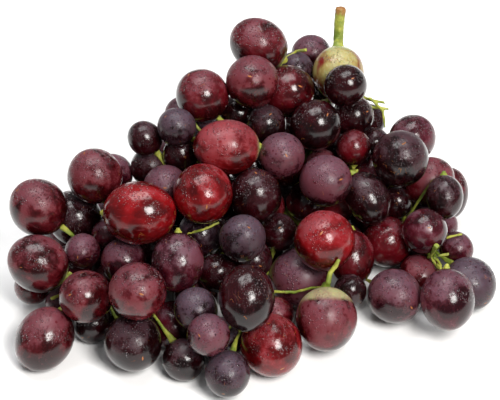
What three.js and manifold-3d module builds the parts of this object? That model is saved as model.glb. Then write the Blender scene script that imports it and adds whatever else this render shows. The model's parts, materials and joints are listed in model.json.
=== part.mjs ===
// A bunch of red table grapes, lying on a table with its main stalk at the back.
// Millimetres, +Z up. The show face of the bunch looks forward (-Y) and upward.
import * as THREE from 'three';
import { mergeVertices } from 'three/addons/utils/BufferGeometryUtils.js';
import Module from 'manifold-3d';

// ---------------------------------------------------------------- driving sizes

const FACE_ELEVATION = 40;   // degrees above the table that the show face looks
const FACE_RISE = 0.55;      // height gained for each millimetre up the show face
const FOOT_HEIGHT = 12;      // middle of the lowest berries above the table
const GAP = 0.35;            // free space between neighbouring pieces
const TABLE_PRESS = 1;       // how far the lowest berries are flattened on the table
const INNER_PITCH = 22.5;      // spacing of the rows of inner berries
const INNER_COVER = 19;      // depth under the show face where inner berries begin
const SPRIG_COUNT = 5;       // joined sprigs of inner berries
const NECK_RADIUS = 2.2;     // joint between two berries of one sprig
const PEDICEL_RADIUS = 0.95; // the small stalk of one berry
const CUP_RADIUS = 2.1;      // its swollen end, against the berry
const LARGEST_BRANCH = 1.75; // thickest stalk that fits between berries
const SMALLEST_DETAIL = 0.3;  // finer steps than this are left out of the stalk
const ROUTE_PITCH = 2.6;     // spacing of the points a stalk may pass through

const PEEP_HOLE = [-9, 134, 9]; // the one place where light shows through: across, up, size

const SKIN_COLOURS = {
  ruby: 0x9c1f2b, garnet: 0x6f1b28, plum: 0x6b3a4e, midnight: 0x2a141c, dusk: 0x4a4058, blush: 0xb9a878,
};
const SKIN_ROUGHNESS = { ruby: 0.25, garnet: 0.35, plum: 0.5, midnight: 0.3, dusk: 0.55, blush: 0.4 };
const STALK_COLOUR = 0x9a9a45;

// The lower edge and the crest of the show face: [across, up], both along the face.
const LOWER_EDGE = [[-105, 28], [-93, 25], [-50, 23], [-30, 16], [-11, 10], [10, 21], [36, 34], [66, 45],
  [90, 42], [105, 55]];
const CREST = [[-105, 70], [-97, 85], [-71, 99], [-47, 115], [-22, 135], [4, 158], [27, 152], [41, 145],
  [55, 125], [73, 118], [91, 91], [105, 50]];

// The berries of the show face, branch by branch:
// [across, up, sunk below the face (or standing out from it, if negative), length, width, skin, clock hour its stalk points to (if it is known)]
const FACE_BERRIES = {
  crown: [
    [4, 162, 6, 27, 24, 'garnet', 4], [30, 160, 28, 18, 18, 'plum'], [22, 151, 16, 16, 16, 'dusk'],
    [2, 143, 0, 25, 24, 'garnet'], [19, 138, 0, 25, 24, 'garnet'], [43, 148, 6, 25, 24, 'blush', 12],
    [45, 142, -14, 21, 19, 'midnight'], [29, 126, 2, 23, 23, 'midnight'], [7, 123, 6, 18, 18, 'midnight'],
    [-5, 129, 18, 17, 17, 'midnight'], [49, 129, 8, 19, 19, 'midnight'],
  ],
  left_brow: [
    [-23, 136, 0, 24, 24, 'garnet'], [-33, 122, 2, 17, 17, 'dusk'], [-32, 129, 18, 16, 16, 'plum'],
    [-33, 110, 6, 16, 16, 'midnight'], [-49, 116, 4, 16, 15, 'midnight'], [-47, 99, 6, 18, 18, 'midnight'],
    [-42, 95, 10, 22, 21, 'plum'], [-62, 101, 16, 19, 19, 'plum'], [-72, 99, 0, 25, 25, 'garnet'],
  ],
  left_shoulder: [
    [-96, 84, 0, 27, 26, 'garnet'], [-79, 77, 6, 26, 25, 'midnight'], [-95, 60, 0, 28, 26, 'garnet', 4],
    [-100, 48, 12, 17, 17, 'midnight'], [-79, 64, 0, 18, 16, 'plum'], [-68, 73, 14, 14, 14, 'plum'],
    [-58, 61, 4, 22, 21, 'plum'],
  ],
  heart: [
    [-11, 109, 2, 30, 25, 'ruby', 3], [-21, 93, 0, 28, 27, 'ruby'], [-48, 82, 0, 33, 29, 'ruby', 9],
    [13, 109, 0, 21, 21, 'plum'], [3, 92, 4, 24, 24, 'midnight'], [36, 96, 0, 24, 24, 'plum'],
    [34, 104, 18, 16, 16, 'plum'], [-3, 70, 2, 23, 21, 'dusk'], [-31, 58, 0, 27, 24, 'plum', 12],
    [22, 85, 22, 19, 19, 'midnight'], [12, 70, 18, 18, 18, 'midnight'], [-17, 54, 18, 18, 18, 'midnight'],
    [33, 67, 0, 28, 28, 'ruby'],
  ],
  left_fall: [
    [-75, 42, 0, 25, 24, 'garnet'], [-88, 41, 16, 15, 15, 'plum'], [-92, 25, 0, 30, 26, 'garnet', 1],
    [-50, 44, -12, 26, 26, 'garnet'], [-49, 22, 0, 27, 26, 'midnight'], [-72, 29, 10, 18, 18, 'midnight'],
  ],
  foot: [
    [-25, 37, 6, 20, 20, 'dusk'], [-19, 27, 0, 19, 19, 'plum'], [-30, 18, 3, 19, 19, 'midnight'],
    [-11, 13, 0, 21, 20, 'dusk'], [-1, 43, -12, 30, 25, 'midnight', 12], [9, 23, 0, 29, 28, 'ruby'],
    [18, 50, 16, 29, 29, 'plum'], [34, 33, 3, 29, 28, 'garnet', 12],
  ],
  right_shoulder: [
    [58, 126, 16, 15, 15, 'midnight'], [60, 116, 16, 15, 15, 'midnight'], [78, 117, 10, 22, 22, 'plum'],
    [70, 105, 0, 26, 26, 'midnight'], [50, 113, 6, 16, 16, 'garnet', 6], [84, 95, 12, 25, 23, 'garnet'],
    [96, 92, 26, 25, 20, 'garnet', 12], [91, 89, -2, 20, 17, 'midnight', 12], [71, 87, 16, 15, 15, 'midnight'],
    [56, 89, 0, 26, 20, 'midnight', 11], [81, 74, 0, 21, 21, 'plum'], [89, 76, 20, 19, 19, 'plum'],
    [98, 63, 4, 16, 16, 'plum'], [67, 68, 5, 24, 24, 'garnet'],
  ],
  right_fall: [
    [51, 58, 5, 26, 21, 'garnet', 12], [65, 45, 2, 26, 25, 'plum'], [90, 43, -12, 28, 25, 'plum', 12],
    [100, 49, 8, 25, 25, 'dusk'], [79, 63, 16, 15, 15, 'midnight'],
  ],
};
// Face berries sunk at least this far are hidden for the most part, and join the inner sprigs.
const SPRIG_SUNK = 12;

// The main stalk and its side branches: middle lines as [across, up, sunk], then the radius at each end.
const BRANCHES = [
  { line: [[44, 181, 0], [43, 170, 8], [43, 160, 15], [42, 150, 22], [39, 138, 26], [32, 120, 31], [24, 100, 31],
    [14, 72, 28], [2, 44, 21]], from: 2.1, to: 1.5 },
  { line: [[30, 116, 31], [8, 112, 30], [-22, 104, 28], [-50, 90, 24], [-74, 68, 18]], from: 1.8, to: 1.3 },
  { line: [[27, 108, 31], [46, 98, 26], [66, 88, 20], [80, 72, 18]], from: 1.8, to: 1.3 },
  { line: [[14, 72, 28], [-14, 62, 26], [-40, 52, 22], [-64, 42, 18]], from: 1.6, to: 1.3 },
  { line: [[37, 134, 27], [20, 138, 24], [2, 140, 22]], from: 1.6, to: 1.3 },
  { line: [[18, 82, 29], [36, 66, 24], [50, 52, 18]], from: 1.6, to: 1.3 },
];

// Stalks seen between the berries, bare or broken: [across, up, sunk] from the inside out, and the end's radius.
const BARE_STALKS = {
  curl: { line: [[50, 136, 16], [55, 139, 8], [58, 137, 5], [62, 134, 5], [65, 129, 6], [65, 123, 8]], end: 0.7 },
  curl_knob: { line: [[62, 134, 5], [65, 135, 4]], end: 1 },
  curl_twig: { line: [[64, 131, 6], [67, 132, 5]], end: 0.9 },
  right_cup: { line: [[82, 52, 12], [83, 55, 6], [83, 60, 2], [84, 65, -4], [85, 69, -10]], end: 1.7 },
  right_side: { line: [[83, 60, 2], [87, 63, 0], [93, 63, -1]], end: 1.2 },
  right_low: { line: [[83, 56, 5], [86, 56, 1], [89, 56, -2]], end: 1.3 },
  right_hook: { line: [[90, 67, 6], [94, 71, 2], [97, 70, 0], [100, 72, 0]], end: 0.8 },
  left_cup: { line: [[-80, 46, 14], [-86, 45, 4], [-87, 50, 0], [-85, 56, -2]], end: 1.6 },
  left_low: { line: [[-87, 46, 3], [-91, 43, 2]], end: 1.2 },
  brow_low: { line: [[-19, 117, 12], [-23, 119, 4], [-27, 117, 2]], end: 1.1 },
  brow_high: { line: [[-22, 119, 6], [-24, 123, 2], [-26, 127, 2]], end: 1.2 },
  heart: { line: [[-30, 70, 14], [-24, 74, 6], [-19, 75, 5], [-14, 78, 5]], end: 0.9 },
  right_brow: { line: [[44, 100, 14], [47, 103, 5], [51, 102, 2]], end: 1.2 },
  crown: { line: [[22, 157, 14], [25, 159, 6], [27, 160, 2]], end: 1.2 },
  long_pedicel: { line: [[45, 78, 16], [46, 72, 4], [43, 63, -12], [39, 55, -10], [36, 50, -6]], end: 1.9 },
};

// ---------------------------------------------------------------- the show face

const tilt = THREE.MathUtils.degToRad(FACE_ELEVATION);
const ACROSS = new THREE.Vector3(1, 0, 0);
const UP_FACE = new THREE.Vector3(0, Math.sin(tilt), Math.cos(tilt));
const INTO_FACE = new THREE.Vector3(0, Math.cos(tilt), -Math.sin(tilt));
const DOWN = new THREE.Vector3(0, 0, -1);

function along(line, x) {
  const last = line.length - 1;
  if (x <= line[0][0]) return line[0][1];
  if (x >= line[last][0]) return line[last][1];
  const next = line.findIndex((point) => point[0] > x);
  const [x0, y0] = line[next - 1];
  const [x1, y1] = line[next];
  return y0 + (y1 - y0) * (x - x0) / (x1 - x0);
}

// Depth of the show face, along its own looking direction, at one place on it.
function faceDepth(across, up) {
  const height = FOOT_HEIGHT + FACE_RISE * (up - along(LOWER_EDGE, across));
  return (up * Math.cos(tilt) - height) / Math.sin(tilt);
}

function placeOnFace([across, up, sunk]) {
  return ACROSS.clone().multiplyScalar(across)
    .addScaledVector(UP_FACE, up)
    .addScaledVector(INTO_FACE, faceDepth(across, up) + sunk);
}

// How far a point lies behind the show face.
function sunkDepth(point) {
  return point.dot(INTO_FACE) - faceDepth(point.x, point.dot(UP_FACE));
}

// The back of the bunch: how far back a berry may sit at one height.
function backAt(across, height) {
  const up = along(CREST, across);
  const ridge = up * Math.sin(tilt) + faceDepth(across, up) * Math.cos(tilt);
  return ridge + 14 * (1 - height / 100);
}

let seed = 20;
function chance() {
  seed = (seed * 1664525 + 1013904223) % 4294967296;
  return seed / 4294967296;
}

// ---------------------------------------------------------------- berries as ovals that push each other apart

function newBerry(at, length, width, skin, branch) {
  return { at, length: length / 2, width: width / 2, skin, branch, axis: new THREE.Vector3(0, 0, 1) };
}

function reach(berry, direction) {
  const share = berry.axis.dot(direction) ** 2;
  return Math.sqrt(berry.width ** 2 * (1 - share) + berry.length ** 2 * share);
}

function touchPoint(berry, direction) {
  const lean = (berry.length ** 2 - berry.width ** 2) * berry.axis.dot(direction);
  return direction.clone().multiplyScalar(berry.width ** 2)
    .addScaledVector(berry.axis, lean)
    .divideScalar(reach(berry, direction));
}

// The free space between two ovals, and the direction it is measured in.
function spaceBetween(one, other) {
  const between = other.at.clone().sub(one.at);
  const direction = between.clone().normalize();
  for (let step = 0; step < 3; step++) {
    const slope = between.clone().sub(touchPoint(one, direction)).sub(touchPoint(other, direction));
    direction.addScaledVector(slope, 0.6 / between.length()).normalize();
  }
  return { space: between.dot(direction) - reach(one, direction) - reach(other, direction), direction };
}

// A berry with a place on the face gives way into the face more easily than across it.
function giveWay(berry, direction) {
  if (!berry.home) return direction.clone();
  const inward = INTO_FACE.clone().multiplyScalar(direction.dot(INTO_FACE));
  return inward.addScaledVector(direction.clone().sub(inward), berry.slack);
}

function pushApart(one, other) {
  if (one.at.distanceToSquared(other.at) > 1400) return 0;
  const { space, direction } = spaceBetween(one, other);
  const lacking = GAP + 0.02 - space;
  if (lacking <= 0) return 0;
  const moveOne = giveWay(one, direction);
  const moveOther = giveWay(other, direction);
  const share = lacking / (moveOne.dot(direction) + moveOther.dot(direction));
  one.at.addScaledVector(moveOne, -share);
  other.at.addScaledVector(moveOther, share);
  return lacking;
}

function restOnTable(berry) {
  berry.at.z = Math.max(berry.at.z, reach(berry, DOWN) - TABLE_PRESS);
}

function keepOffBranches(berry) {
  for (const { point, radius } of branchPoints) {
    const away = berry.at.clone().sub(point);
    const lacking = radius + GAP + berry.width + 0.3 - away.length();
    if (lacking > 0) berry.at.addScaledVector(away.normalize(), lacking);
  }
}

function settle(berries, rounds, pull) {
  let worst = 0;
  for (let round = 0; round < rounds; round++) {
    const homing = pull * (1 - round / rounds);
    worst = 0;
    for (const berry of berries) {
      if (berry.home) berry.at.lerp(berry.home, homing);
      keepOffBranches(berry);
    }
    for (let i = 0; i < berries.length; i++) {
      for (let j = i + 1; j < berries.length; j++) worst = Math.max(worst, pushApart(berries[i], berries[j]));
    }
    berries.forEach(restOnTable);
  }
  return worst;
}

// ---------------------------------------------------------------- where everything goes

const branchPoints = [];
for (const { line, from, to } of BRANCHES) {
  const curve = new THREE.CatmullRomCurve3(line.map(placeOnFace));
  const points = curve.getSpacedPoints(Math.round(curve.getLength() / 3));
  points.forEach((point, i) => {
    branchPoints.push({ point, radius: THREE.MathUtils.lerp(from, to, i / (points.length - 1)) });
  });
}

function clockDirection(hour) {
  const turn = THREE.MathUtils.degToRad(hour * 30);
  return ACROSS.clone().multiplyScalar(Math.sin(turn))
    .addScaledVector(UP_FACE, Math.cos(turn))
    .addScaledVector(INTO_FACE, 0.25)
    .normalize();
}

let berries = [];
for (const [branch, rows] of Object.entries(FACE_BERRIES)) {
  for (const [across, up, sunk, length, width, skin, hour] of rows) {
    const berry = newBerry(placeOnFace([across, up, sunk]), length, width, skin, branch);
    berry.home = berry.at.clone();
    berry.slack = 0.25;
    berry.sunk = sunk;
    if (hour !== undefined) berry.stalkSide = clockDirection(hour);
    berries.push(berry);
  }
}

// A berry's stalk end turns to the nearest branch.
function aimAtBranch(berry) {
  if (berry.stalkSide) {
    berry.axis.copy(berry.stalkSide);
    return;
  }
  const nearest = branchPoints.reduce((best, entry) => (
    entry.point.distanceTo(berry.at) < best.point.distanceTo(berry.at) ? entry : best));
  berry.axis.copy(nearest.point).sub(berry.at).normalize();
}
berries.forEach(aimAtBranch);
settle(berries, 250, 0.3);

// Inner and back berries fill the body of the bunch in staggered rows.
function insideBody(point) {
  if (point.z < 9 || point.y > backAt(point.x, point.z)) return false;
  if (Math.abs(point.x) > 96) return false;
  const up = point.dot(UP_FACE);
  if (up > along(CREST, point.x) - 3 || up < along(LOWER_EDGE, point.x) + 14) return false;
  return sunkDepth(point) > INNER_COVER;
}

function addInnerBerry(point) {
  const size = 18 + 4 * chance();
  const atBack = point.y > backAt(point.x, point.z) - 16;
  const berry = newBerry(point, size * 1.06, size, atBack && chance() < 0.6 ? 'plum' : 'midnight', 'inner');
  aimAtBranch(berry);
  const crowded = berries.some((other) => spaceBetween(berry, other).space < -7);
  const onBranch = branchPoints.some((entry) => entry.point.distanceTo(point) < berry.width - 2);
  if (!crowded && !onBranch) berries.push(berry);
}

function addInnerBerries() {
  for (let layer = 0; layer < 7; layer++) {
    for (let row = 0; row < 9; row++) {
      for (let place = -5; place <= 5; place++) {
        const point = new THREE.Vector3(
          (place + ((row + layer) % 2) / 2) * INNER_PITCH + 3 * chance(),
          14 + row * INNER_PITCH * 0.87 + (layer % 2) * 6 + 3 * chance(),
          11 + layer * INNER_PITCH * 0.82,
        );
        if (insideBody(point)) addInnerBerry(point);
      }
    }
  }
}

// Inner berries that still lack room are left out, the tightest first.
function tightness(berry) {
  return berries.reduce((sum, other) => (
    other === berry ? sum : sum + Math.max(0, GAP - spaceBetween(berry, other).space)), 0);
}

function leaveOutTightest() {
  for (;;) {
    const inner = berries.filter((berry) => !berry.home);
    const tightest = inner.reduce((worst, berry) => (tightness(berry) > tightness(worst) ? berry : worst));
    if (tightness(tightest) < 1.2) break;
    berries.splice(berries.indexOf(tightest), 1);
    settle(berries, 15, 0.1);
  }
}

// Where the table would show through the bunch, one more inner berry goes in behind.
function closeHoles(margin) {
  for (let across = -92; across <= 84; across += 4) {
    for (let up = along(LOWER_EDGE, across) + 9; up < along(CREST, across) - 6; up += 4) {
      const covered = berries.some((berry) => (
        Math.hypot(berry.at.x - across, berry.at.dot(UP_FACE) - up) < berry.width - margin));
      const window = Math.hypot(across - PEEP_HOLE[0], up - PEEP_HOLE[1]) < PEEP_HOLE[2];
      if (covered || window) continue;
      const point = placeOnFace([across, up, 20]);
      if (point.z < 9) point.addScaledVector(INTO_FACE, (point.z - 9) / Math.sin(tilt));
      addInnerBerry(point);
    }
  }
}

addInnerBerries();
for (const berry of berries) {
  if (berry.home) berry.home.copy(berry.at);
}
settle(berries, 200, 0.25);
for (let pass = 0; pass < 3; pass++) {
  leaveOutTightest();
  closeHoles(1);
  settle(berries, 150, 0.25);
}
leaveOutTightest();
settle(berries, 300, 0.1);

// Inner berries that were squeezed out of the body are left out too.
function strayed(berry) {
  const up = berry.at.dot(UP_FACE);
  const low = up < along(LOWER_EDGE, berry.at.x) + 5;
  return low || sunkDepth(berry.at) < 10 || up > along(CREST, berry.at.x) || Math.abs(berry.at.x) > 98;
}
berries = berries.filter((berry) => berry.home || !strayed(berry));
settle(berries, 1200, 0);

// ---------------------------------------------------------------- solids

const wasm = await Module();
wasm.setup();

function toSolid(geometry) {
  const bare = geometry.clone();
  bare.deleteAttribute('normal');
  bare.deleteAttribute('uv');
  const merged = mergeVertices(bare, 1e-4);
  return new wasm.Manifold(new wasm.Mesh({
    numProp: 3,
    vertProperties: new Float32Array(merged.attributes.position.array),
    triVerts: new Uint32Array(merged.index.array),
  }));
}

function toGeometry(solid) {
  const mesh = solid.getMesh();
  const geometry = new THREE.BufferGeometry();
  geometry.setAttribute('position', new THREE.BufferAttribute(mesh.vertProperties, 3));
  geometry.setIndex(new THREE.BufferAttribute(mesh.triVerts, 1));
  const faceted = geometry.toNonIndexed();
  faceted.computeVertexNormals();
  return faceted;
}

const table = toSolid(new THREE.BoxGeometry(500, 500, 60).translate(0, 80, -30));

// One berry: an oval, a little slimmer at the blossom end, grown by the given margin.
function berrySolid(berry, fineness, margin) {
  const shape = new THREE.IcosahedronGeometry(1, fineness);
  const spots = shape.attributes.position;
  for (let i = 0; i < spots.count; i++) {
    const slim = 1 - 0.05 * (1 - spots.getZ(i)) / 2;
    spots.setX(i, spots.getX(i) * slim);
    spots.setY(i, spots.getY(i) * slim);
  }
  shape.scale(berry.width + margin, berry.width + margin, berry.length + margin);
  shape.applyQuaternion(new THREE.Quaternion().setFromUnitVectors(new THREE.Vector3(0, 0, 1), berry.axis));
  shape.translate(berry.at.x, berry.at.y, berry.at.z);
  const solid = toSolid(shape);
  return margin > 0 ? solid : solid.subtract(table);
}

// ---------------------------------------------------------------- sprigs of inner berries

const sprigMembers = berries.filter((berry) => !berry.home || berry.sunk >= SPRIG_SUNK);
const single = berries.filter((berry) => !sprigMembers.includes(berry));

function finenessOf(berry) {
  return single.includes(berry) && berry.width > 10 ? 2 : 1;
}

// The shortest necks that join all the inner berries into one tree.
function shortestNecks() {
  const links = [];
  sprigMembers.forEach((from, i) => {
    sprigMembers.slice(i + 1).forEach((to) => {
      const { space } = spaceBetween(from, to);
      if (space < 12 && neckIsFree(from, to)) links.push({ from, to, space });
    });
  });
  links.sort((one, other) => one.space - other.space);
  const family = new Map(sprigMembers.map((berry) => [berry, berry]));
  const headOf = (berry) => (family.get(berry) === berry ? berry : headOf(family.get(berry)));
  return links.filter(({ from, to }) => {
    if (headOf(from) === headOf(to)) return false;
    family.set(headOf(from), headOf(to));
    return true;
  });
}

// The tree is cut into sprigs of about the same number of berries.
function gatherSprigs() {
  const necks = shortestNecks();
  const target = sprigMembers.length / (SPRIG_COUNT + 0.6);
  const found = [];
  const gather = (berry, parent) => {
    const sprig = { members: [berry], necks: [] };
    for (const neck of necks) {
      const child = neck.from === berry ? neck.to : neck.to === berry ? neck.from : null;
      if (!child || child === parent) continue;
      const branch = gather(child, berry);
      if (!branch) continue;
      sprig.members.push(...branch.members);
      sprig.necks.push(...branch.necks, neck);
    }
    if (sprig.members.length < target || found.length === SPRIG_COUNT - 1) return sprig;
    found.push(sprig);
    return null;
  };
  const rest = gather(sprigMembers.reduce((one, other) => (other.at.x < one.at.x ? other : one)), null);
  if (rest) found.push(rest);
  return found;
}

// Whether the short joint between two berries stays clear of all the others.
function neckIsFree(from, to) {
  const middle = from.at.clone().lerp(to.at, from.width / (from.width + to.width));
  return berries.every((berry) => (
    berry === from || berry === to || berry.at.distanceTo(middle) > berry.length + NECK_RADIUS + GAP));
}

// ---------------------------------------------------------------- the ways a stalk can take

// Free space at a point: the distance to the nearest berry, and that berry.
function freeSpace(point) {
  let space = Infinity;
  let nearest = null;
  for (const berry of berries) {
    const dx = point.x - berry.at.x;
    const dy = point.y - berry.at.y;
    const dz = point.z - berry.at.z;
    const far = dx * dx + dy * dy + dz * dz;
    if (far > (space + berry.length) ** 2) continue;
    const lift = dx * berry.axis.x + dy * berry.axis.y + dz * berry.axis.z;
    const scale = Math.sqrt((far - lift * lift) / berry.width ** 2 + lift * lift / berry.length ** 2);
    const here = Math.sqrt(far) * (1 - 1 / scale);
    if (here < space) {
      space = here;
      nearest = berry;
    }
  }
  return { space, nearest };
}

// Moves a point away from the berries around it until it has the room it needs.
function findRoom(point, need, steps) {
  for (let step = 0; step < steps; step++) {
    const { space, nearest } = freeSpace(point);
    if (space >= need) return space;
    point.addScaledVector(point.clone().sub(nearest.at).normalize(), (need - space) * 0.7);
  }
  return freeSpace(point).space;
}

const PEDICEL_ROOM = PEDICEL_RADIUS + GAP;
const stops = new Map();

function stopKey(i, j, k) {
  return (i * 100 + j) * 100 + k;
}

function layOutStops() {
  for (let i = 0; i < 230 / ROUTE_PITCH; i++) {
    for (let j = 0; j < 180 / ROUTE_PITCH; j++) {
      for (let k = 0; k < 120 / ROUTE_PITCH; k++) {
        const at = new THREE.Vector3(i * ROUTE_PITCH - 112, j * ROUTE_PITCH - 4, k * ROUTE_PITCH + 2);
        if (freeSpace(at).space > 9 || sunkDepth(at) < 2) continue;
        const from = at.clone();
        const space = findRoom(at, PEDICEL_ROOM + 0.3, 4);
        if (space < PEDICEL_ROOM || at.distanceTo(from) > ROUTE_PITCH || at.z < 2) continue;
        stops.set(stopKey(i, j, k), { at, space, cost: Infinity, next: null, key: [i, j, k] });
      }
    }
  }
}

// A heap of stops, the cheapest on top.
function pushStop(heap, stop) {
  let place = heap.length;
  heap.push(stop);
  while (place > 0) {
    const above = (place - 1) >> 1;
    if (heap[above].cost <= stop.cost) break;
    heap[place] = heap[above];
    place = above;
  }
  heap[place] = stop;
}

function popStop(heap) {
  const top = heap[0];
  const last = heap.pop();
  let place = 0;
  while (heap.length > 0) {
    let below = place * 2 + 1;
    if (below >= heap.length) break;
    if (below + 1 < heap.length && heap[below + 1].cost < heap[below].cost) below++;
    if (heap[below].cost >= last.cost) break;
    heap[place] = heap[below];
    place = below;
  }
  if (heap.length > 0) heap[place] = last;
  return top;
}

// From every stop, the cheapest way back to a branch.
function findWays() {
  const heap = [];
  for (const stop of stops.values()) {
    branchPoints.forEach((entry, i) => {
      const cost = entry.point.distanceTo(stop.at);
      if (cost < 3.5 && cost < stop.cost) {
        stop.cost = cost;
        stop.joins = i;
      }
    });
    if (stop.cost < Infinity) pushStop(heap, { cost: stop.cost, stop });
  }
  while (heap.length > 0) {
    const { cost, stop } = popStop(heap);
    if (cost > stop.cost) continue;
    const [i, j, k] = stop.key;
    for (let di = -1; di <= 1; di++) {
      for (let dj = -1; dj <= 1; dj++) {
        for (let dk = -1; dk <= 1; dk++) {
          const other = stops.get(stopKey(i + di, j + dj, k + dk));
          if (!other || other === stop) continue;
          const step = stop.at.distanceTo(other.at);
          const open = Math.max(0, other.space - 4);
          const newCost = stop.cost + step * (1 + open * 0.5);
          if (newCost >= other.cost) continue;
          const middle = freeSpace(stop.at.clone().lerp(other.at, 0.5)).space;
          if (middle < PEDICEL_ROOM * 0.8) continue;
          other.cost = newCost;
          other.next = stop;
          other.joins = undefined;
          pushStop(heap, { cost: newCost, stop: other });
        }
      }
    }
  }
}

function mapWays() {
  stops.clear();
  layOutStops();
  findWays();
}

// The stop where a berry's stalk begins: near the berry, cheap to reach a branch from, on the side wanted.
function firstStop(berry, wanted, strictness) {
  let best = null;
  for (const stop of stops.values()) {
    const away = stop.at.clone().sub(berry.at);
    const far = away.length() - reach(berry, away.clone().normalize());
    if (far < 1.2 || far > 5 || stop.cost === Infinity) continue;
    const turn = 1 - away.normalize().dot(wanted);
    const score = stop.cost + strictness * turn + 2 * far;
    if (!best || score < best.score) best = { stop, score };
  }
  return best?.stop;
}

mapWays();
for (const berry of berries) {
  if (berry.stalkSide) continue;
  const stop = firstStop(berry, berry.axis, 15);
  if (stop) berry.axis.copy(stop.at).sub(berry.at).normalize();
}
settle(berries, 1500, 0);
mapWays();

const sprigs = gatherSprigs();

// Every stalk is a chain of points from its free end back to a branch, or to a stalk that is there already.
const chains = [];
function addChain(head, stop) {
  const chain = { head, stops: [] };
  for (let here = stop; here; here = here.next) {
    chain.stops.push(here);
    if (here.taken) break;
    here.taken = true;
  }
  chains.push(chain);
  for (let here = stop; here; here = here.next) here.load = (here.load ?? 0) + 1;
}

// Berries in the very middle are held by the necks of their sprig, so their own stalks are left out.
function buried(berry) {
  return !berry.home && berry.at.y < backAt(berry.at.x, berry.at.z) - 16;
}

const planned = [];
for (const berry of berries) {
  const stop = firstStop(berry, berry.axis, 120);
  if (!stop || buried(berry)) continue;
  const foot = berry.at.clone().addScaledVector(berry.axis, berry.length + GAP);
  const neck = berry.at.clone().addScaledVector(berry.axis, berry.length + 1.9);
  planned.push({ stop, head: [{ at: foot, radius: CUP_RADIUS }, { at: neck, radius: PEDICEL_RADIUS }] });
}
for (const { line, end } of Object.values(BARE_STALKS)) {
  const head = line.map(placeOnFace).reverse().map((at, i) => ({ at, radius: i === 0 ? end : PEDICEL_RADIUS }));
  for (const knot of head) findRoom(knot.at, knot.radius + GAP, 12);
  const inner = head.at(-1).at;
  const near = [...stops.values()].filter((stop) => stop.cost < Infinity);
  const stop = near.reduce((best, other) => (
    other.at.distanceTo(inner) < best.at.distanceTo(inner) ? other : best));
  planned.push({ stop, head });
}
planned.sort((one, other) => other.stop.cost - one.stop.cost);
for (const { head, stop } of planned) addChain(head, stop);

// The points of the ways are drawn smooth, and kept clear of the berries.
const usedStops = [...stops.values()].filter((stop) => stop.taken);
for (let round = 0; round < 12; round++) {
  for (const stop of usedStops) {
    const neighbours = usedStops.filter((other) => other.next === stop).map((other) => other.at);
    neighbours.push(stop.next ? stop.next.at : branchPoints[stop.joins].point);
    const middle = neighbours.reduce((sum, at) => sum.add(at), new THREE.Vector3())
      .divideScalar(neighbours.length);
    stop.at.lerp(middle, neighbours.length > 1 ? 0.4 : 0);
    stop.space = findRoom(stop.at, PEDICEL_ROOM + 0.25, 3);
  }
}

function stalkRadius(stop) {
  const wanted = PEDICEL_RADIUS * stop.load ** 0.3;
  return Math.max(PEDICEL_RADIUS * 0.8, Math.min(wanted, LARGEST_BRANCH, stop.space - GAP));
}

// A closed round stalk along a line of knots, each with its own radius.
function stalkSolid(knots, sides, spacing) {
  const curve = new THREE.CatmullRomCurve3(knots.map((knot) => knot.at), false, 'centripetal');
  const rings = Math.max(2, Math.round(curve.getLength() / spacing));
  const frames = curve.computeFrenetFrames(rings);
  const shape = new THREE.CylinderGeometry(1, 1, 1, sides, rings);
  const spots = shape.attributes.position;
  for (let i = 0; i < spots.count; i++) {
    const share = 0.5 - spots.getY(i);
    const ring = Math.round(share * rings);
    const place = curve.getUtoTmapping(share) * (knots.length - 1);
    const before = Math.min(Math.floor(place), knots.length - 2);
    const radius = THREE.MathUtils.lerp(knots[before].radius, knots[before + 1].radius, place - before);
    const spot = curve.getPointAt(share)
      .addScaledVector(frames.normals[ring], spots.getX(i) * radius)
      .addScaledVector(frames.binormals[ring], spots.getZ(i) * radius);
    spots.setXYZ(i, spot.x, spot.y, spot.z);
  }
  return toSolid(shape);
}

function neckSolid(from, to, radius) {
  return stalkSolid([{ at: from.at, radius }, { at: to.at, radius }], 3, 60);
}

const stalkParts = BRANCHES.map(({ line, from, to }) => {
  const knots = line.map(placeOnFace).map((at, i) => ({
    at, radius: THREE.MathUtils.lerp(from, to, i / (line.length - 1)) }));
  return stalkSolid(knots, 6, 9);
});
for (const { head, stops: way } of chains) {
  const knots = [...head];
  way.forEach((stop, i) => {
    if (i % 3 === 1 || i === way.length - 1) knots.push({ at: stop.at, radius: stalkRadius(stop) });
  });
  const last = way.at(-1);
  if (!last.next) knots.push({ at: branchPoints[last.joins].point, radius: stalkRadius(last) });
  stalkParts.push(stalkSolid(knots, 4, 9));
}

const grown = wasm.Manifold.union(berries.map((berry) => berrySolid(berry, finenessOf(berry), GAP)));
const neckRooms = sprigs.flatMap(({ necks }) => necks.map(({ from, to }) => (
  neckSolid(from, to, NECK_RADIUS + GAP))));
const joined = wasm.Manifold.union(stalkParts);
const stalkWhole = joined.subtract(grown).subtract(wasm.Manifold.union(neckRooms)).subtract(table).simplify(SMALLEST_DETAIL);
const stalkPieces = stalkWhole.decompose().sort((one, other) => other.volume() - one.volume());

// ---------------------------------------------------------------- the bunch

const group = new THREE.Group();
group.name = 'grape_bunch';
const branchGroups = {};

// Adds a piece to its branch's group, placed by its own middle point.
function addPiece(name, branch, solid, at, colour, roughness) {
  if (!branchGroups[branch]) {
    branchGroups[branch] = new THREE.Group();
    branchGroups[branch].name = branch;
    group.add(branchGroups[branch]);
  }
  const geometry = toGeometry(solid).translate(-at.x, -at.y, -at.z);
  const mesh = new THREE.Mesh(geometry, new THREE.MeshStandardMaterial({ color: colour, roughness, metalness: 0 }));
  mesh.name = name;
  mesh.position.copy(at);
  branchGroups[branch].add(mesh);
}

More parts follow.
